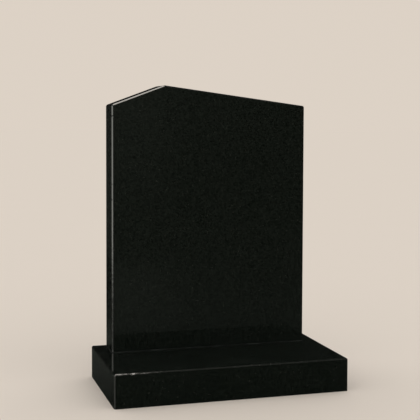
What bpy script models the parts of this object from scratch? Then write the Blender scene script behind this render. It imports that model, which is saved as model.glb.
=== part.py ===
# Polished granite memorial: a headstone with an off-centre peak, bedded on a low base.
# Metres, +Z up. The front faces -Y, and the origin is the middle of the base's underside.

import bpy
import bmesh
from mathutils import Vector

# Base: the low block that the headstone stands on
base_width = 0.610
base_depth = 0.320
base_height = 0.085
base_arris = 0.003          # flat ground along the top edges and the upright corners

# Headstone: an upright slab whose top edge rises to a peak left of the middle
stone_width = 0.535
stone_thickness = 0.085
shoulder_height = 0.648     # from the foot up to both shoulders
peak_height = 0.700         # from the foot up to the peak
peak_from_left = 0.140
stone_arris = 0.003
back_setback = 0.013        # the headstone's back stands in from the base's back

# Bed: the thin joint of setting compound under the headstone, pointed as a small bead
bed_thickness = 0.0015
bead_foot = 0.0030          # how far the bead reaches out over the base
bead_lip = 0.0012           # how far it stands out at the headstone's foot

# A hairline of clearance where one piece rests on another
seat_gap = 0.0003

GRANITE = (0.0055, 0.0066, 0.0052, 1.0)
COMPOUND = (0.030, 0.030, 0.027, 1.0)


def clear_scene():
    for thing in list(bpy.data.objects):
        bpy.data.objects.remove(thing, do_unlink=True)


def make_material(name, colour, roughness):
    material = bpy.data.materials.new(name)
    material.use_nodes = True
    shader = material.node_tree.nodes["Principled BSDF"]
    shader.inputs["Base Color"].default_value = colour
    shader.inputs["Roughness"].default_value = roughness
    shader.inputs["Metallic"].default_value = 0.0
    return material


def add_object(name, mesh_builder, material, location, parent):
    mesh = bpy.data.meshes.new(name)
    mesh_builder.normal_update()
    mesh_builder.to_mesh(mesh)
    mesh_builder.free()
    mesh.materials.append(material)
    piece = bpy.data.objects.new(name, mesh)
    bpy.context.scene.collection.objects.link(piece)
    piece.parent = parent
    piece.location = location
    return piece


def extrude_outline(outline, run):
    # A flat outline swept along one straight run, closed at both ends
    solid = bmesh.new()
    face = solid.faces.new([solid.verts.new(point) for point in outline])
    swept = bmesh.ops.extrude_face_region(solid, geom=[face])
    moved = [item for item in swept["geom"] if isinstance(item, bmesh.types.BMVert)]
    bmesh.ops.translate(solid, verts=moved, vec=run)
    bmesh.ops.recalc_face_normals(solid, faces=solid.faces)
    return solid


def grind_arrises(solid, leg):
    # Every edge gets its small flat except those round the underside, which stay square
    floor_level = min(vert.co.z for vert in solid.verts)
    edges = [
        edge for edge in solid.edges
        if max(vert.co.z for vert in edge.verts) > floor_level + leg
    ]
    bmesh.ops.bevel(solid, geom=edges, offset=leg, offset_type="OFFSET",
                    segments=1, affect="EDGES", clamp_overlap=True)


def rectangle(width, depth, height):
    return [
        Vector((-width / 2, -depth / 2, height)),
        Vector((width / 2, -depth / 2, height)),
        Vector((width / 2, depth / 2, height)),
        Vector((-width / 2, depth / 2, height)),
    ]


def build_base(material, parent):
    solid = extrude_outline(rectangle(base_width, base_depth, 0.0), Vector((0, 0, base_height)))
    grind_arrises(solid, base_arris)
    return add_object("base", solid, material, (0, 0, 0), parent)


def build_bed(material, parent, location):
    # Its foot spreads over the base, and its lip just clears the headstone's faces
    solid = bmesh.new()
    rings = [
        rectangle(stone_width + 2 * bead_foot, stone_thickness + 2 * bead_foot, 0.0),
        rectangle(stone_width + 2 * bead_lip, stone_thickness + 2 * bead_lip, bed_thickness),
    ]
    lower, upper = [[solid.verts.new(point) for point in ring] for ring in rings]
    solid.faces.new(lower)
    solid.faces.new(upper)
    for index in range(len(lower)):
        after = (index + 1) % len(lower)
        solid.faces.new((lower[index], lower[after], upper[after], upper[index]))
    bmesh.ops.recalc_face_normals(solid, faces=solid.faces)
    return add_object("bedding_joint", solid, material, location, parent)


def build_headstone(material, parent, location):
    left, right = -stone_width / 2, stone_width / 2
    front = -stone_thickness / 2
    outline = [
        Vector((left, front, 0.0)),
        Vector((right, front, 0.0)),
        Vector((right, front, shoulder_height)),
        Vector((left + peak_from_left, front, peak_height)),
        Vector((left, front, shoulder_height)),
    ]
    solid = extrude_outline(outline, Vector((0, stone_thickness, 0)))
    grind_arrises(solid, stone_arris)
    return add_object("headstone", solid, material, location, parent)


def build_memorial():
    clear_scene()
    granite = make_material("polished black granite", GRANITE, 0.08)
    compound = make_material("setting compound", COMPOUND, 0.7)

    memorial = bpy.data.objects.new("memorial", None)
    bpy.context.scene.collection.objects.link(memorial)

    # The headstone's middle, measured from the base's middle
    stone_y = base_depth / 2 - back_setback - stone_thickness / 2
    bed_level = base_height + seat_gap
    stone_level = bed_level + bed_thickness + seat_gap

    build_base(granite, memorial)
    build_bed(compound, memorial, (0, stone_y, bed_level))
    build_headstone(granite, memorial, (0, stone_y, stone_level))


build_memorial()
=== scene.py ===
# A polished black granite headstone on its low base: dressed stones, finishes, studio and camera.
# Metres, +Z up, the headstone's front faces -Y.

import math
import random

import bmesh
import bpy
from mathutils import Matrix, Vector, noise


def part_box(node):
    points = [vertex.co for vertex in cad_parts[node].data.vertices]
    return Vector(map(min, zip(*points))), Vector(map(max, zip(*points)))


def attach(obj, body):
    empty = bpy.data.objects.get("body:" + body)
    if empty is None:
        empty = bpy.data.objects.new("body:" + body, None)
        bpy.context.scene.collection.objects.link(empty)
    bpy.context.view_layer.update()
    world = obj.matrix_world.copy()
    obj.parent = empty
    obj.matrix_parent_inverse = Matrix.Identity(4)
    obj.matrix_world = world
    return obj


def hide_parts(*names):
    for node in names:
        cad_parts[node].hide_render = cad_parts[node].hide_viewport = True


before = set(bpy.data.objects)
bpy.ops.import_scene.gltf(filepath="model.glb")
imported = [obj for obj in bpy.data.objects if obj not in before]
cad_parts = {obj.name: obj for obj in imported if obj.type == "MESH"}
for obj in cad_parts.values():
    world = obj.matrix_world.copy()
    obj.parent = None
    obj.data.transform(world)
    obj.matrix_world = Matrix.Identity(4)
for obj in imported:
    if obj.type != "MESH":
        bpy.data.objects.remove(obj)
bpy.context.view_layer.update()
print("frame loaded:", ", ".join(sorted(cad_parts)))


# small helpers for node trees

def newTree(owner):
    owner.use_nodes = True
    owner.node_tree.nodes.clear()
    return owner.node_tree


def addNode(tree, kind, x, y, label="", **settings):
    node = tree.nodes.new(kind)
    node.location = (x, y)
    node.label = label
    for key, value in settings.items():
        setattr(node, key, value)
    return node


def setInputs(node, values):
    for socket, value in values.items():
        node.inputs[socket].default_value = value
    return node


def addMath(tree, operation, x, y, first, second=None, clamp=False):
    node = addNode(tree, "ShaderNodeMath", x, y, operation=operation, use_clamp=clamp)
    for socket, value in zip(node.inputs, (first, second)):
        if isinstance(value, bpy.types.NodeSocket):
            tree.links.new(value, socket)
        elif value is not None:
            socket.default_value = value
    return node.outputs[0]


def addRange(tree, x, y, value, low, high, toLow, toHigh, smooth=False):
    node = addNode(tree, "ShaderNodeMapRange", x, y,
                   interpolation_type="SMOOTHSTEP" if smooth else "LINEAR")
    tree.links.new(value, node.inputs["Value"])
    ends = {"From Min": low, "From Max": high, "To Min": toLow, "To Max": toHigh}
    for socket, number in ends.items():
        if isinstance(number, bpy.types.NodeSocket):
            tree.links.new(number, node.inputs[socket])
        else:
            node.inputs[socket].default_value = number
    return node.outputs["Result"]


def addMix(tree, x, y, factor, first, second, blend="MIX"):
    node = addNode(tree, "ShaderNodeMix", x, y, data_type="RGBA", blend_type=blend)
    for index, value in ((0, factor), (6, first), (7, second)):
        if isinstance(value, bpy.types.NodeSocket):
            tree.links.new(value, node.inputs[index])
        else:
            node.inputs[index].default_value = value
    return node.outputs[2]


def addGroup(tree, group, x, y, vector, values):
    node = addNode(tree, "ShaderNodeGroup", x, y, group.name, node_tree=group)
    tree.links.new(vector, node.inputs["Vector"])
    return setInputs(node, values)


def startGroup(name, inputs, outputs):
    group = bpy.data.node_groups.new(name, "ShaderNodeTree")
    for socketName, kind, value in inputs:
        socket = group.interface.new_socket(name=socketName, in_out="INPUT", socket_type=kind)
        if value is not None:
            socket.default_value = value
    for socketName, kind in outputs:
        group.interface.new_socket(name=socketName, in_out="OUTPUT", socket_type=kind)
    entry = addNode(group, "NodeGroupInput", -1200, 0)
    leave = addNode(group, "NodeGroupOutput", 900, 0)
    return group, entry, leave


# the crystals that black granite is made of, and the small pale flecks among them

grainSetting = {
    "fineScale": 2.3,             # the fine crystals are this many times smaller
    "toneShares": (0.714, 0.286),     # what the coarse and the fine ones give to the tone
    "cloudRange": (0.38, 0.62),   # the noise that counts as fully dark and as fully light
    "fleckScale": 0.8,            # below 1 the flecks are larger than the coarse crystals
    "fleckEdge": (0.22, 0.38),    # where a fleck starts to fade, and where it ends, from its middle
    "fleckPower": 3.0,            # above 1 most flecks are faint
    "faintestFleck": 0.25,
}


def makeGraniteGrain():
    group, entry, leave = startGroup("graniteGrain", [
        ("Vector", "NodeSocketVector", None),
        ("Dark", "NodeSocketColor", (0.004, 0.005, 0.004, 1)),
        ("Light", "NodeSocketColor", (0.008, 0.009, 0.007, 1)),
        ("Fleck", "NodeSocketColor", (0.03, 0.03, 0.028, 1)),
        ("Crystals Per Metre", "NodeSocketFloat", 420.0),
        ("Clouds Per Metre", "NodeSocketFloat", 85.0),
        ("Cloud Share", "NodeSocketFloat", 0.3),
        ("Fleck Share", "NodeSocketFloat", 0.03),
    ], [("Color", "NodeSocketColor"), ("Crystal", "NodeSocketFloat")])

    # two sizes of crystal, each cell with its own tone
    coarse = addNode(group, "ShaderNodeTexVoronoi", -900, 300, "crystals")
    group.links.new(entry.outputs["Vector"], coarse.inputs["Vector"])
    group.links.new(entry.outputs["Crystals Per Metre"], coarse.inputs["Scale"])
    coarse.inputs["Randomness"].default_value = 1.0
    coarseTone = addNode(group, "ShaderNodeSeparateColor", -700, 300)
    group.links.new(coarse.outputs["Color"], coarseTone.inputs["Color"])

    fineScale = addMath(group, "MULTIPLY", -1000, 60, entry.outputs["Crystals Per Metre"],
                        grainSetting["fineScale"])
    fine = addNode(group, "ShaderNodeTexVoronoi", -900, 60, "fine crystals")
    group.links.new(entry.outputs["Vector"], fine.inputs["Vector"])
    group.links.new(fineScale, fine.inputs["Scale"])
    fineTone = addNode(group, "ShaderNodeSeparateColor", -700, 60)
    group.links.new(fine.outputs["Color"], fineTone.inputs["Color"])

    clouds = addNode(group, "ShaderNodeTexNoise", -900, -160, "clouds")
    group.links.new(entry.outputs["Vector"], clouds.inputs["Vector"])
    group.links.new(entry.outputs["Clouds Per Metre"], clouds.inputs["Scale"])
    setInputs(clouds, {"Detail": 2.0, "Roughness": 0.5})
    cloudTone = addRange(group, -700, -160, clouds.outputs["Fac"], *grainSetting["cloudRange"],
                         0.0, 1.0, smooth=True)

    coarseShare, fineShare = grainSetting["toneShares"]
    crystals = addMath(group, "ADD", -500, 200,
                       addMath(group, "MULTIPLY", -600, 300, coarseTone.outputs[0], coarseShare),
                       addMath(group, "MULTIPLY", -600, 60, fineTone.outputs[1], fineShare))
    tone = addRange(group, -350, 120, entry.outputs["Cloud Share"], 0.0, 1.0, crystals, cloudTone)
    body = addMix(group, -100, 200, tone, entry.outputs["Dark"], entry.outputs["Light"])

    # small pale crystals, most of them faint
    fleckNet = addNode(group, "ShaderNodeTexVoronoi", -900, -420, "pale flecks")
    group.links.new(entry.outputs["Vector"], fleckNet.inputs["Vector"])
    fleckScale = addMath(group, "MULTIPLY", -1050, -420, entry.outputs["Crystals Per Metre"],
                         grainSetting["fleckScale"])
    group.links.new(fleckScale, fleckNet.inputs["Scale"])
    fleckTone = addNode(group, "ShaderNodeSeparateColor", -700, -420)
    group.links.new(fleckNet.outputs["Color"], fleckTone.inputs["Color"])
    chosen = addMath(group, "LESS_THAN", -500, -420, fleckTone.outputs[2], entry.outputs["Fleck Share"])
    core = addRange(group, -500, -600, fleckNet.outputs["Distance"], *grainSetting["fleckEdge"], 1.0, 0.0)
    uneven = addMath(group, "POWER", -650, -760, fleckTone.outputs[0], grainSetting["fleckPower"])
    shine = addRange(group, -500, -760, uneven, 0.0, 1.0, grainSetting["faintestFleck"], 1.0)
    shape = addMath(group, "MULTIPLY", -300, -450, chosen, core)
    fleck = addMath(group, "MULTIPLY", -150, -450, shape, shine, clamp=True)
    colour = addMix(group, 300, 100, fleck, body, entry.outputs["Fleck"])

    group.links.new(colour, leave.inputs["Color"])
    group.links.new(tone, leave.inputs["Crystal"])
    return group


# the slow swell that the polishing heads leave, and the fine relief of harder and softer crystals

def makeSurfaceRelief():
    group, entry, leave = startGroup("surfaceRelief", [
        ("Vector", "NodeSocketVector", None),
        ("Crystal", "NodeSocketFloat", 0.5),
        ("Swell Per Metre", "NodeSocketFloat", 14.0),
        ("Swell", "NodeSocketFloat", 1.0),
        ("Grain Per Metre", "NodeSocketFloat", 1400.0),
        ("Grain", "NodeSocketFloat", 0.1),
        ("Crystal Step", "NodeSocketFloat", 0.05),
    ], [("Height", "NodeSocketFloat")])
    swell = addNode(group, "ShaderNodeTexNoise", -800, 250, "swell")
    group.links.new(entry.outputs["Vector"], swell.inputs["Vector"])
    group.links.new(entry.outputs["Swell Per Metre"], swell.inputs["Scale"])
    setInputs(swell, {"Detail": 1.0, "Roughness": 0.4})
    grain = addNode(group, "ShaderNodeTexNoise", -800, -50, "grain")
    group.links.new(entry.outputs["Vector"], grain.inputs["Vector"])
    group.links.new(entry.outputs["Grain Per Metre"], grain.inputs["Scale"])
    setInputs(grain, {"Detail": 5.0, "Roughness": 0.65})
    first = addMath(group, "MULTIPLY", -550, 250, swell.outputs["Fac"], entry.outputs["Swell"])
    second = addMath(group, "MULTIPLY", -550, -50, grain.outputs["Fac"], entry.outputs["Grain"])
    third = addMath(group, "MULTIPLY", -550, -250, entry.outputs["Crystal"], entry.outputs["Crystal Step"])
    total = addMath(group, "ADD", -100, 50, addMath(group, "ADD", -300, 100, first, second), third)
    group.links.new(total, leave.inputs["Height"])
    return group


# handling marks: a breath of dust and the wiped streaks in it

dustSetting = {
    "patchRange": (0.42, 0.68),   # the noise where a patch starts, and where it is full
    "streakStretch": (1.0, 1.0, 7.0),     # above 1 the streaks are thin that way
    "streaksPerMetre": 22.0,
    "streakRange": (0.35, 0.7),
    "leastStreak": 0.35,          # what a wipe leaves of a patch
}


def makeDustFilm():
    group, entry, leave = startGroup("dustFilm", [
        ("Vector", "NodeSocketVector", None),
        ("Patches Per Metre", "NodeSocketFloat", 9.0),
        ("Amount", "NodeSocketFloat", 0.5),
    ], [("Dust", "NodeSocketFloat")])
    patches = addNode(group, "ShaderNodeTexNoise", -800, 200, "patches")
    group.links.new(entry.outputs["Vector"], patches.inputs["Vector"])
    group.links.new(entry.outputs["Patches Per Metre"], patches.inputs["Scale"])
    setInputs(patches, {"Detail": 6.0, "Roughness": 0.6, "Distortion": 0.4})
    patchMask = addRange(group, -550, 200, patches.outputs["Fac"], *dustSetting["patchRange"],
                         0.0, 1.0, smooth=True)

    wiped = addNode(group, "ShaderNodeMapping", -1000, -100, "wiped along the stone")
    group.links.new(entry.outputs["Vector"], wiped.inputs["Vector"])
    wiped.inputs["Scale"].default_value = dustSetting["streakStretch"]
    streaks = addNode(group, "ShaderNodeTexNoise", -800, -100, "streaks")
    group.links.new(wiped.outputs["Vector"], streaks.inputs["Vector"])
    setInputs(streaks, {"Scale": dustSetting["streaksPerMetre"], "Detail": 4.0, "Roughness": 0.55})
    streakMask = addRange(group, -550, -100, streaks.outputs["Fac"], *dustSetting["streakRange"],
                          dustSetting["leastStreak"], 1.0)
    both = addMath(group, "MULTIPLY", -300, 100, patchMask, streakMask)
    dust = addMath(group, "MULTIPLY", -100, 100, both, entry.outputs["Amount"], clamp=True)
    group.links.new(dust, leave.inputs["Dust"])
    return group


graniteGrain = makeGraniteGrain()
surfaceRelief = makeSurfaceRelief()
dustFilm = makeDustFilm()


# one recipe for every way the same granite is finished

def makeGranite(name, look):
    material = bpy.data.materials.new(name)
    tree = newTree(material)
    where = addNode(tree, "ShaderNodeTexCoord", -1400, 0)
    shader = addNode(tree, "ShaderNodeBsdfPrincipled", 500, 0)
    output = addNode(tree, "ShaderNodeOutputMaterial", 800, 0)
    tree.links.new(shader.outputs["BSDF"], output.inputs["Surface"])
    shader.inputs["IOR"].default_value = look["ior"]

    grain = addGroup(tree, graniteGrain, -1100, 200, where.outputs["Object"], {
        "Dark": (*look["dark"], 1), "Light": (*look["light"], 1), "Fleck": (*look["fleck"], 1),
        "Crystals Per Metre": look["crystalsPerMetre"], "Clouds Per Metre": look["cloudsPerMetre"],
        "Cloud Share": look["cloudShare"], "Fleck Share": look["fleckShare"]})
    dust = addGroup(tree, dustFilm, -1100, -200, where.outputs["Object"],
                    {"Patches Per Metre": look["dustPatches"], "Amount": look["dust"]})
    colour = addMix(tree, 100, 250, dust.outputs["Dust"], grain.outputs["Color"], (*look["dustColour"], 1))
    tree.links.new(colour, shader.inputs["Base Color"])

    # each crystal takes the polish a little differently, and dust dulls it
    crystalRough = addRange(tree, -600, -50, grain.outputs["Crystal"], 0.0, 1.0, *look["roughness"])
    dulled = addMath(tree, "MULTIPLY", -600, -250, dust.outputs["Dust"], look["dustRoughness"])
    tree.links.new(addMath(tree, "ADD", -350, -100, crystalRough, dulled, clamp=True),
                   shader.inputs["Roughness"])

    relief = addGroup(tree, surfaceRelief, -600, -500, where.outputs["Object"], {
        "Swell Per Metre": look["swellPerMetre"], "Swell": look["swell"],
        "Grain Per Metre": look["grainPerMetre"], "Grain": look["grain"],
        "Crystal Step": look["crystalStep"]})
    tree.links.new(grain.outputs["Crystal"], relief.inputs["Crystal"])
    bump = addNode(tree, "ShaderNodeBump", 200, -400)
    setInputs(bump, {"Strength": look["bumpStrength"], "Distance": look["bumpDistance"]})
    tree.links.new(relief.outputs["Height"], bump.inputs["Height"])
    tree.links.new(bump.outputs["Normal"], shader.inputs["Normal"])
    return material


polishedLook = {
    "ior": 1.54,
    "dark": (0.0010, 0.0019, 0.0011),
    "light": (0.0110, 0.0138, 0.0108),
    "fleck": (0.031, 0.033, 0.027),
    "crystalsPerMetre": 330.0,
    "cloudsPerMetre": 200.0,
    "cloudShare": 0.3,
    "fleckShare": 0.13,
    "roughness": (0.025, 0.05),
    "dust": 0.02, "dustPatches": 8.0, "dustRoughness": 0.3, "dustColour": (0.05, 0.05, 0.045),
    "swellPerMetre": 12.0, "swell": 1.0, "grainPerMetre": 1200.0, "grain": 0.004, "crystalStep": 0.004,
    "bumpStrength": 0.25, "bumpDistance": 0.0004,
}
arrisLook = dict(
    polishedLook, ior=2.0, dark=(0.003, 0.0036, 0.0028), light=(0.016, 0.0175, 0.0145),
    fleck=(0.11, 0.11, 0.10), fleckShare=0.16, roughness=(0.06, 0.14), dust=0.10, dustPatches=30.0,
    swellPerMetre=60.0, swell=0.3, grain=0.12, crystalStep=0.10, bumpStrength=0.5,
)
endLook = dict(
    polishedLook, dark=(0.0001, 0.0004, 0.0001), light=(0.0152, 0.0190, 0.0151),
    fleck=(0.058, 0.063, 0.054), fleckShare=0.26, crystalsPerMetre=260.0, cloudShare=0.2,
    roughness=(0.06, 0.22), dust=0.05, grain=0.02, crystalStep=0.03,
)
topLook = dict(
    polishedLook, dark=(0.0008, 0.0017, 0.0008), light=(0.0131, 0.0158, 0.0127),
    fleck=(0.044, 0.047, 0.040), fleckShare=0.20, crystalsPerMetre=200.0, cloudsPerMetre=110.0,
    cloudShare=0.5, dust=0.05, dustPatches=11.0,
)
baseLook = dict(polishedLook, dark=(0.0009, 0.0017, 0.0010), light=(0.0095, 0.0124, 0.0098))
backLook = dict(polishedLook, roughness=(0.09, 0.13), dust=0.06, dustPatches=6.0)
sawnLook = dict(
    polishedLook, dark=(0.035, 0.036, 0.034), light=(0.075, 0.076, 0.072), fleck=(0.16, 0.16, 0.155),
    fleckShare=0.10, roughness=(0.62, 0.85), dust=0.35, dustPatches=16.0, dustColour=(0.12, 0.115, 0.105),
    swellPerMetre=160.0, swell=0.35, grain=0.7, crystalStep=0.25, bumpStrength=0.8, bumpDistance=0.0006,
)
polishedGranite = makeGranite("polishedGranite", polishedLook)
groundArris = makeGranite("groundArris", arrisLook)
rubbedEnd = makeGranite("rubbedEnd", endLook)
polishedTop = makeGranite("polishedTop", topLook)
polishedBase = makeGranite("polishedBase", baseLook)
polishedBack = makeGranite("polishedBack", backLook)
sawnUnderside = makeGranite("sawnUnderside", sawnLook)
print("granite finishes made")


# the two stones, cut from their outlines and dressed along every arris

headstoneSetting = {
    "peakFromLeft": 0.140,        # along the stone, from its left side
    "shoulderHeight": 0.648,
    "peakHeight": 0.700,
    "arrisLeg": 0.003,
    "arrisRows": 4,
    "arrisProfile": 0.29,         # 0.25 is a plain flat, 0.5 a full round
    "arrisStep": 0.0014,          # length of one facet along an arris
    "waver": 0.00035,             # how far the grinder strays from an even width
    "chips": 34,
    "chipSize": (0.0010, 0.0030),
    "chipDepth": 0.30,            # as a share of the chip's size
    "knocks": [((0.0008, 0.0008, 0.616), 0.0042, 0.30)],      # from the low corner: place, size, depth
    "seed": 11,
}
headstoneFinish = {
    "arris": groundArris, "front": polishedGranite, "top": polishedGranite,
    "back": polishedBack, "ends": rubbedEnd, "underside": sawnUnderside,
}
baseSetting = {
    "arrisLeg": 0.003,
    "arrisRows": 4,
    "arrisProfile": 0.29,
    "arrisStep": 0.0014,
    "waver": 0.00040,
    "chips": 36,
    "chipSize": (0.0010, 0.0030),
    "chipDepth": 0.30,
    "knocks": [((0.041, 0.0008, 0.0842), 0.0100, 0.03)],
    "seed": 31,
}
baseFinish = dict(headstoneFinish, front=polishedBase, top=polishedTop)
dressing = {
    "cornerBit": 0.012,           # bits of arris up to this long, round a corner, stay whole
    "slowWaver": 28.0,            # waves per metre in the line of an arris
    "quickWaver": 90.0,
    "quickShare": 0.5,            # how strong the quick waves are beside the slow ones
    "quickOffset": (7, 3, 1),     # keeps the quick waves out of step with the slow ones
    "sunkShare": 0.35,            # the rows inside an arris waver less than its rims
    "pitsPerMetre": 900.0,
    "pitDepth": 0.00006,
    "pitBias": 0.6,               # the pits go in rather than out
    "clearOfFoot": 0.004,         # no chips nearer than this to the underside
    "mostlySmall": 2.2,           # above 1 most chips are near the small end of their range
    "raggedPerMetre": 1500.0,     # how finely the hollow of a chip breaks up
    "raggedDepth": (0.75, 0.5),   # the mean share of a chip's depth, and how far it varies
}
onPlane = 0.00002                 # a point this near to a face's plane lies in it
sameWay = 0.99999                 # two normals whose product is over this point the same way
facingShare = 0.9                 # a face that looks this much along an axis counts as that side


def sweep(outline, run):
    solid = bmesh.new()
    face = solid.faces.new([solid.verts.new(point) for point in outline])
    grown = bmesh.ops.extrude_face_region(solid, geom=[face])
    moved = [item for item in grown["geom"] if isinstance(item, bmesh.types.BMVert)]
    bmesh.ops.translate(solid, verts=moved, vec=run)
    bmesh.ops.recalc_face_normals(solid, faces=solid.faces)
    return solid


def cutArrises(solid, setting):
    # every edge but those round the underside, in several narrow rows
    foot = min(vert.co.z for vert in solid.verts)
    edges = [edge for edge in solid.edges if max(v.co.z for v in edge.verts) > foot + setting["arrisLeg"]]
    flats = [(face.normal.copy(), face.calc_center_median()) for face in solid.faces]
    bmesh.ops.bevel(solid, geom=edges, offset=setting["arrisLeg"], offset_type="OFFSET", affect="EDGES",
                    segments=setting["arrisRows"], profile=setting["arrisProfile"], clamp_overlap=True)
    return flats


def facetArrises(solid, flats, setting):
    # the broad faces come off until closeFaces, and the long rows are split into short facets
    broad = [face for face in solid.faces
             if any(face.normal.dot(normal) > sameWay
                    and abs((face.calc_center_median() - centre).dot(normal)) < onPlane / 2
                    for normal, centre in flats)]
    bmesh.ops.delete(solid, geom=broad, context="FACES_ONLY")
    byCuts = {}
    for edge in solid.edges:
        if edge.calc_length() > dressing["cornerBit"]:
            byCuts.setdefault(round(edge.calc_length() / setting["arrisStep"]) - 1, []).append(edge)
    for cuts, edges in sorted(byCuts.items()):
        bmesh.ops.subdivide_edges(solid, edges=edges, cuts=cuts, use_grid_fill=False, use_only_quads=False)


def planesAt(point, flats):
    return [normal for normal, centre in flats if abs((point - centre).dot(normal)) < onPlane]


def scatterChips(solid, flats, setting, foot):
    dice = random.Random(setting["seed"])
    lowest = foot + dressing["clearOfFoot"]
    places = [v.co.copy() for v in solid.verts if v.co.z > lowest and not planesAt(v.co, flats)]
    places.sort(key=lambda p: (round(p.x, 5), round(p.y, 5), round(p.z, 5)))
    small, large = setting["chipSize"]
    chips = []
    for _ in range(setting["chips"]):
        place = dice.choice(places)
        size = small + (large - small) * dice.random() ** dressing["mostlySmall"]
        chips.append((place, size, setting["chipDepth"]))
    corner = Vector([min(v.co[axis] for v in solid.verts) for axis in range(3)])
    return chips + [(corner + Vector(offset), size, depth) for offset, size, depth in setting["knocks"]]


def waverAndChip(solid, flats, setting):
    foot = min(vert.co.z for vert in solid.verts)
    chips = scatterChips(solid, flats, setting, foot)
    offset = Vector(dressing["quickOffset"])
    raggedMean, raggedSwing = dressing["raggedDepth"]
    for vert in solid.verts:
        point = vert.co.copy()
        outward = vert.normal.copy()
        touching = planesAt(point, flats)
        stray = noise.noise(point * dressing["slowWaver"])
        stray += dressing["quickShare"] * noise.noise(point * dressing["quickWaver"] + offset)
        if touching:
            push = outward * (-stray * setting["waver"])
        else:
            push = outward * (-abs(stray) * setting["waver"] * dressing["sunkShare"])
            pit = noise.noise(point * dressing["pitsPerMetre"]) - dressing["pitBias"]
            push += outward * pit * dressing["pitDepth"]
        for spot, size, depth in chips:
            reach = (point - spot).length / size
            if reach < 1.0:
                ragged = raggedMean + raggedSwing * noise.noise(point * dressing["raggedPerMetre"])
                push -= outward * (size * depth * (1 - reach ** 2) * ragged)
        # a point on the rim of a broad face only slides within that face, and the corners stay put
        for normal in touching:
            push -= normal * push.dot(normal)
        if len(touching) > 1:
            push = Vector()
        if point.z < foot + onPlane:
            push.z = 0.0
        vert.co = point + push


def sideOf(normal):
    if abs(normal.z) > facingShare:
        return "top" if normal.z > 0 else "underside"
    if abs(normal.x) > facingShare:
        return "ends"
    return "front" if normal.y < 0 else "back"


def closeFaces(solid, flats, finish):
    # the open loops become broad flat faces again
    order = list(finish)
    for face in solid.faces:
        face.material_index = order.index("arris")
        face.smooth = True
    for normal, centre in flats:
        loose = [edge for edge in solid.edges if len(edge.link_faces) < 2]
        ring = [e for e in loose if all(abs((v.co - centre).dot(normal)) < onPlane for v in e.verts)]
        for face in bmesh.ops.contextual_create(solid, geom=ring)["faces"]:
            face.normal_update()
            if face.normal.dot(normal) < 0:
                face.normal_flip()
            face.material_index = order.index(sideOf(normal))
            face.smooth = False
            for edge in face.edges:
                edge.smooth = False


def addPiece(name, solid, materials, node):
    mesh = bpy.data.meshes.new(name)
    solid.to_mesh(mesh)
    solid.free()
    for material in materials:
        mesh.materials.append(material)
    piece = bpy.data.objects.new(name, mesh)
    bpy.context.scene.collection.objects.link(piece)
    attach(piece, "root")
    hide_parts(node)
    print(name, "built:", len(mesh.polygons), "faces")


def buildStone(name, node, outline, run, setting, finish):
    solid = sweep(outline, run)
    flats = cutArrises(solid, setting)
    facetArrises(solid, flats, setting)
    bmesh.ops.recalc_face_normals(solid, faces=solid.faces)
    solid.normal_update()
    waverAndChip(solid, flats, setting)
    closeFaces(solid, flats, finish)
    addPiece(name, solid, finish.values(), node)


def buildBase():
    low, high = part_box("base")
    outline = [Vector((x, y, low.z)) for x, y in
               ((low.x, low.y), (high.x, low.y), (high.x, high.y), (low.x, high.y))]
    buildStone("graniteBase", "base", outline, Vector((0, 0, high.z - low.z)), baseSetting, baseFinish)


def buildHeadstone():
    low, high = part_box("headstone")
    shoulder = low.z + headstoneSetting["shoulderHeight"]
    peak = low.z + headstoneSetting["peakHeight"]
    outline = [Vector((x, low.y, z)) for x, z in
               ((low.x, low.z), (high.x, low.z), (high.x, shoulder),
                (low.x + headstoneSetting["peakFromLeft"], peak), (low.x, shoulder))]
    buildStone("graniteHeadstone", "headstone", outline, Vector((0, high.y - low.y, 0)),
               headstoneSetting, headstoneFinish)


buildBase()
buildHeadstone()


# the bed of setting compound, pressed out a little and pointed off by hand

beadSetting = {
    "reach": 0.0030,              # how far its foot may spread over the base
    "lip": 0.0012,                # how far it may stand out at the headstone's foot
    "shy": (0.0008, 0.0004),      # how much the trowel takes off the reach and the lip
    "hollow": 1.7,                # above 1 the face is dished
    "step": 0.004,                # length of one facet along the joint
    "waver": 0.0007,
    "lipWaver": 0.4,              # how much of that reaches the lip
    "wavesPerMetre": 40.0,
    "waveOffset": (0, 0, 5.0),    # picks the stretch of noise that the waves are read from
    "rows": 5,
}
compoundLook = {
    "dark": (0.0055, 0.0068, 0.0055),
    "light": (0.034, 0.038, 0.033),
    "sand": (0.013, 0.016, 0.013),
    "smearsPerMetre": 26.0, "smearRange": (0.40, 0.72),
    "sandPerMetre": 900.0, "sandRange": (0.35, 0.7), "sandShare": 0.35,
    "roughness": (0.55, 0.8), "roughRange": (0.3, 0.7),
    "specular": 0.15, "bumpStrength": 0.6, "bumpDistance": 0.0004,
}


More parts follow.
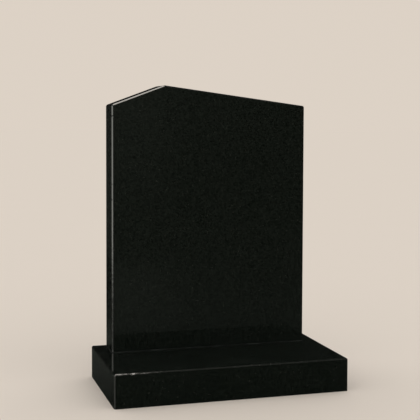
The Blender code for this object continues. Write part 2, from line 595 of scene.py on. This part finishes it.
def makeCompound():
    material = bpy.data.materials.new("settingCompound")
    tree = newTree(material)
    where = addNode(tree, "ShaderNodeTexCoord", -1200, 0)
    shader = addNode(tree, "ShaderNodeBsdfPrincipled", 400, 0)
    output = addNode(tree, "ShaderNodeOutputMaterial", 700, 0)
    tree.links.new(shader.outputs["BSDF"], output.inputs["Surface"])
    smear = addNode(tree, "ShaderNodeTexNoise", -900, 200, "smears")
    tree.links.new(where.outputs["Object"], smear.inputs["Vector"])
    setInputs(smear, {"Scale": compoundLook["smearsPerMetre"], "Detail": 5.0, "Roughness": 0.7})
    sand = addNode(tree, "ShaderNodeTexNoise", -900, -100, "sand")
    tree.links.new(where.outputs["Object"], sand.inputs["Vector"])
    setInputs(sand, {"Scale": compoundLook["sandPerMetre"], "Detail": 3.0, "Roughness": 0.6})
    tone = addRange(tree, -600, 200, smear.outputs["Fac"], *compoundLook["smearRange"],
                    0.0, 1.0, smooth=True)
    colour = addMix(tree, -300, 200, tone, (*compoundLook["dark"], 1), (*compoundLook["light"], 1))
    sandy = addRange(tree, -600, -100, sand.outputs["Fac"], *compoundLook["sandRange"],
                     0.0, compoundLook["sandShare"])
    sanded = addMix(tree, -50, 200, sandy, colour, (*compoundLook["sand"], 1))
    tree.links.new(sanded, shader.inputs["Base Color"])
    rough = addRange(tree, -300, -100, sand.outputs["Fac"], *compoundLook["roughRange"],
                     *compoundLook["roughness"])
    tree.links.new(rough, shader.inputs["Roughness"])
    shader.inputs["Specular IOR Level"].default_value = compoundLook["specular"]
    bump = addNode(tree, "ShaderNodeBump", 100, -300)
    setInputs(bump, {"Strength": compoundLook["bumpStrength"], "Distance": compoundLook["bumpDistance"]})
    tree.links.new(sand.outputs["Fac"], bump.inputs["Height"])
    tree.links.new(bump.outputs["Normal"], shader.inputs["Normal"])
    return material


def beadPath():
    # points round the headstone's foot, each with the way out over the base
    low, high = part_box("headstone")
    corners = [Vector((low.x, low.y, 0)), Vector((high.x, low.y, 0)),
               Vector((high.x, high.y, 0)), Vector((low.x, high.y, 0))]
    path = []
    for index, corner in enumerate(corners):
        side = corners[(index + 1) % 4] - corner
        along = side.normalized()
        before = (corner - corners[index - 1]).normalized()
        outward = Vector((along.y, -along.x, 0))
        count = round(side.length / beadSetting["step"])
        path.append((corner, outward + Vector((before.y, -before.x, 0))))
        path += [(corner + side * (step / count), outward) for step in range(1, count)]
    return path


def buildBead():
    low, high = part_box("bedding_joint")
    fullReach, fullLip = beadSetting["reach"], beadSetting["lip"]
    shyReach, shyLip = beadSetting["shy"]
    offset = Vector(beadSetting["waveOffset"])
    path = beadPath()
    solid = bmesh.new()
    rings = []
    for row in range(beadSetting["rows"]):
        share = row / (beadSetting["rows"] - 1)
        ring = []
        for place, outward in path:
            wave = noise.noise(place * beadSetting["wavesPerMetre"] + offset)
            wave *= beadSetting["waver"]
            reach = fullReach - shyReach + wave
            lip = fullLip - shyLip + wave * beadSetting["lipWaver"]
            spread = lip + (reach - lip) * (1 - share) ** beadSetting["hollow"]
            spread = min(spread, fullReach - (fullReach - fullLip) * share)
            level = low.z + (high.z - low.z) * share
            ring.append(solid.verts.new(place + outward * spread + Vector((0, 0, level))))
        rings.append(ring)
    for lower, upper in zip(rings, rings[1:]):
        for index in range(len(lower)):
            after = (index + 1) % len(lower)
            face = solid.faces.new((lower[index], lower[after], upper[after], upper[index]))
            face.smooth = True
    solid.faces.new(list(reversed(rings[0])))
    solid.faces.new(rings[-1])
    bmesh.ops.recalc_face_normals(solid, faces=solid.faces)
    addPiece("compoundBead", solid, [makeCompound()], "bedding_joint")


buildBead()


# the studio: a pale floor that runs out of sight, an even dome, a box of light overhead,
# and round it the dim room that the polish reflects

studioSetting = {
    "floorColour": (0.80, 0.713, 0.623),
    "floorRadius": 60.0,
    "floorShade": 0.99,           # the darker tone of its faint mottle
    "mottlePerMetre": 3.0,
    "domeStrength": 0.90,
    "overheadPlace": (-0.48, -0.40, 2.80),
    "overheadSize": (1.50, 1.40),
    "overheadRadiance": 3.35,
    "overheadColour": (1.0, 0.94, 0.85),
    "leftRadiance": 1.40,
    "leftColour": (1.0, 1.0, 0.91),
    "roomColour": (0.97, 1.04, 0.90),
    "toBack": (-0.3, 0.3),        # the direction's depth where the room ahead goes over to the one behind
    "toLeft": (-0.55, -0.8),      # the direction's way across where the left light starts and is full
}


def buildFloor():
    solid = bmesh.new()
    bmesh.ops.create_circle(solid, cap_ends=True, segments=96, radius=studioSetting["floorRadius"])
    mesh = bpy.data.meshes.new("studioFloor")
    solid.to_mesh(mesh)
    solid.free()
    material = bpy.data.materials.new("paleFloor")
    tree = newTree(material)
    where = addNode(tree, "ShaderNodeTexCoord", -900, 0)
    shader = addNode(tree, "ShaderNodeBsdfPrincipled", 300, 0)
    output = addNode(tree, "ShaderNodeOutputMaterial", 600, 0)
    tree.links.new(shader.outputs["BSDF"], output.inputs["Surface"])
    setInputs(shader, {"Roughness": 0.9, "Specular IOR Level": 0.0})
    mottle = addNode(tree, "ShaderNodeTexNoise", -600, 0, "mottle")
    tree.links.new(where.outputs["Object"], mottle.inputs["Vector"])
    setInputs(mottle, {"Scale": studioSetting["mottlePerMetre"], "Detail": 3.0})
    colour = studioSetting["floorColour"]
    shade = [part * studioSetting["floorShade"] for part in colour]
    tone = addMix(tree, -200, 0, mottle.outputs["Fac"], (*shade, 1), (*colour, 1))
    tree.links.new(tone, shader.inputs["Base Color"])
    mesh.materials.append(material)
    floor = bpy.data.objects.new("studioFloor", mesh)
    bpy.context.scene.collection.objects.link(floor)
    floor.visible_glossy = False        # the stone reflects the room that the world describes


def rampOf(tree, x, y, value, stops):
    node = addNode(tree, "ShaderNodeValToRGB", x, y)
    ramp = node.color_ramp
    ramp.interpolation = "EASE"
    while len(ramp.elements) < len(stops):
        ramp.elements.new(0.5)
    for element, (height, level) in zip(ramp.elements, stops):
        element.position = (height + 1) / 2
        element.color = (level, level, level, 1)
    tree.links.new(addRange(tree, x - 200, y, value, -1.0, 1.0, 0.0, 1.0), node.inputs["Fac"])
    return node.outputs["Color"]


# how bright the room is in each direction, as pairs of the direction's height and the level there
roomLevels = {
    "behind": [
        (-1.0, 0.22), (-0.45, 0.18), (-0.31, 0.006), (-0.283, 0.006), (-0.262, 0.017), (-0.243, 0.032),
        (-0.224, 0.042), (-0.210, 0.028), (-0.192, 0.010), (-0.150, 0.002), (-0.126, 0.017),
        (0.0, 0.018), (0.06, 0.006), (0.26, 0.006), (0.5, 0.07), (1.0, 0.09)],
    "aheadLeft": [
        (-1.0, 0.22), (-0.45, 0.18), (-0.30, 0.012), (-0.225, 0.012), (-0.207, 0.088), (-0.165, 0.087),
        (-0.125, 0.033), (-0.08, 0.043), (0.0, 0.074), (0.03, 0.074), (0.12, 0.03), (1.0, 0.05)],
    "aheadRight": [
        (-1.0, 0.10), (-0.45, 0.05), (-0.30, 0.002), (-0.225, 0.006), (-0.207, 0.046), (-0.185, 0.048),
        (-0.160, 0.029), (-0.125, 0.026), (-0.08, 0.014), (0.0, 0.016), (0.12, 0.036), (1.0, 0.05)],
    "left": [                     # a tall soft light above a pale floor
        (-1.0, 0.14), (-0.3, 0.14), (-0.160, 0.14), (-0.140, 1.0), (0.06, 1.0), (0.16, 0.84),
        (0.30, 0.84), (0.65, 0.05), (1.0, 0.05)],
}
# ahead, how far the level has gone over from aheadLeft to aheadRight, by the direction's way across
aheadTurn = [(0.15, 0.0), (0.21, 0.0), (0.27, 0.75), (0.36, 1.0), (1.0, 1.0)]


def buildWorld():
    world = bpy.data.worlds.new("studio")
    bpy.context.scene.world = world
    tree = newTree(world)
    ray = addNode(tree, "ShaderNodeLightPath", -400, 500)
    where = addNode(tree, "ShaderNodeTexCoord", -1600, 0)
    axes = addNode(tree, "ShaderNodeSeparateXYZ", -1400, 0)
    tree.links.new(where.outputs["Generated"], axes.inputs["Vector"])
    across, depth, height = axes.outputs

    levels = {}
    for index, (name, stops) in enumerate(roomLevels.items()):
        levels[name] = rampOf(tree, -900, 200 - 300 * index, height, stops)
    turned = rampOf(tree, -900, -1000, across, aheadTurn)
    ahead = addMix(tree, -600, -200, turned, levels["aheadLeft"], levels["aheadRight"])
    toBack = addRange(tree, -600, 50, depth, *studioSetting["toBack"], 0.0, 1.0, smooth=True)
    room = addMix(tree, -300, 100, toBack, ahead, levels["behind"])
    leftTint = [studioSetting["leftRadiance"] * part for part in studioSetting["leftColour"]]
    leftward = addMix(tree, -600, -850, 1.0, levels["left"], (*leftTint, 1), blend="MULTIPLY")
    tinted = addMix(tree, -300, -100, 1.0, room, (*studioSetting["roomColour"], 1), blend="MULTIPLY")
    toLeft = addRange(tree, -600, -650, across, *studioSetting["toLeft"], 0.0, 1.0, smooth=True)
    reflected = addMix(tree, 0, -100, toLeft, tinted, leftward)

    # only the gloss sees the room: matt light comes from the dome, and the backdrop matches the floor
    strength = studioSetting["domeStrength"]
    backdrop = [strength * part for part in studioSetting["floorColour"]]
    unseen = addMix(tree, 200, 200, ray.outputs["Is Glossy Ray"], (strength,) * 3 + (1,), reflected)
    colour = addMix(tree, 450, 300, ray.outputs["Is Camera Ray"], unseen, (*backdrop, 1))
    background = addNode(tree, "ShaderNodeBackground", 700, 200)
    output = addNode(tree, "ShaderNodeOutputWorld", 900, 200)
    tree.links.new(colour, background.inputs["Color"])
    tree.links.new(background.outputs["Background"], output.inputs["Surface"])
    world.cycles.sampling_method = "NONE"


def addOverhead():
    # it faces straight down, and only the gloss sees it
    width, depth = studioSetting["overheadSize"]
    light = bpy.data.lights.new("overheadBox", "AREA")
    light.shape = "RECTANGLE"
    light.size, light.size_y = width, depth
    light.color = studioSetting["overheadColour"]
    light.energy = studioSetting["overheadRadiance"] * math.pi * width * depth
    box = bpy.data.objects.new("overheadBox", light)
    bpy.context.scene.collection.objects.link(box)
    box.location = studioSetting["overheadPlace"]
    box.visible_diffuse = False
    box.visible_camera = False


buildFloor()
buildWorld()
addOverhead()
print("studio lit")


# the camera, from the front and a little to the left, near the height of the headstone's shoulders

cameraSetting = {
    "place": (-0.7556, -2.4887, 0.6988),
    "turn": 16.468,              # degrees to the right of straight on
    "tilt": -2.82,
    "roll": 0.194,
    "lens": 85.335,
    "sensor": 36.0,
    "shiftY": -0.1,
}


def buildCamera():
    camera = bpy.data.cameras.new("photoCamera")
    camera.sensor_width = cameraSetting["sensor"]
    camera.lens = cameraSetting["lens"]
    camera.shift_y = cameraSetting["shiftY"]
    camera.dof.use_dof = False
    eye = bpy.data.objects.new("photoCamera", camera)
    bpy.context.scene.collection.objects.link(eye)
    turn, tilt, roll = (math.radians(cameraSetting[key]) for key in ("turn", "tilt", "roll"))
    facing = (Matrix.Rotation(-turn, 4, "Z") @ Matrix.Rotation(math.pi / 2 + tilt, 4, "X")
              @ Matrix.Rotation(roll, 4, "Z"))
    eye.matrix_world = Matrix.Translation(cameraSetting["place"]) @ facing
    bpy.context.scene.camera = eye
    bpy.context.scene.view_settings.view_transform = "Standard"


buildCamera()
print("camera placed")
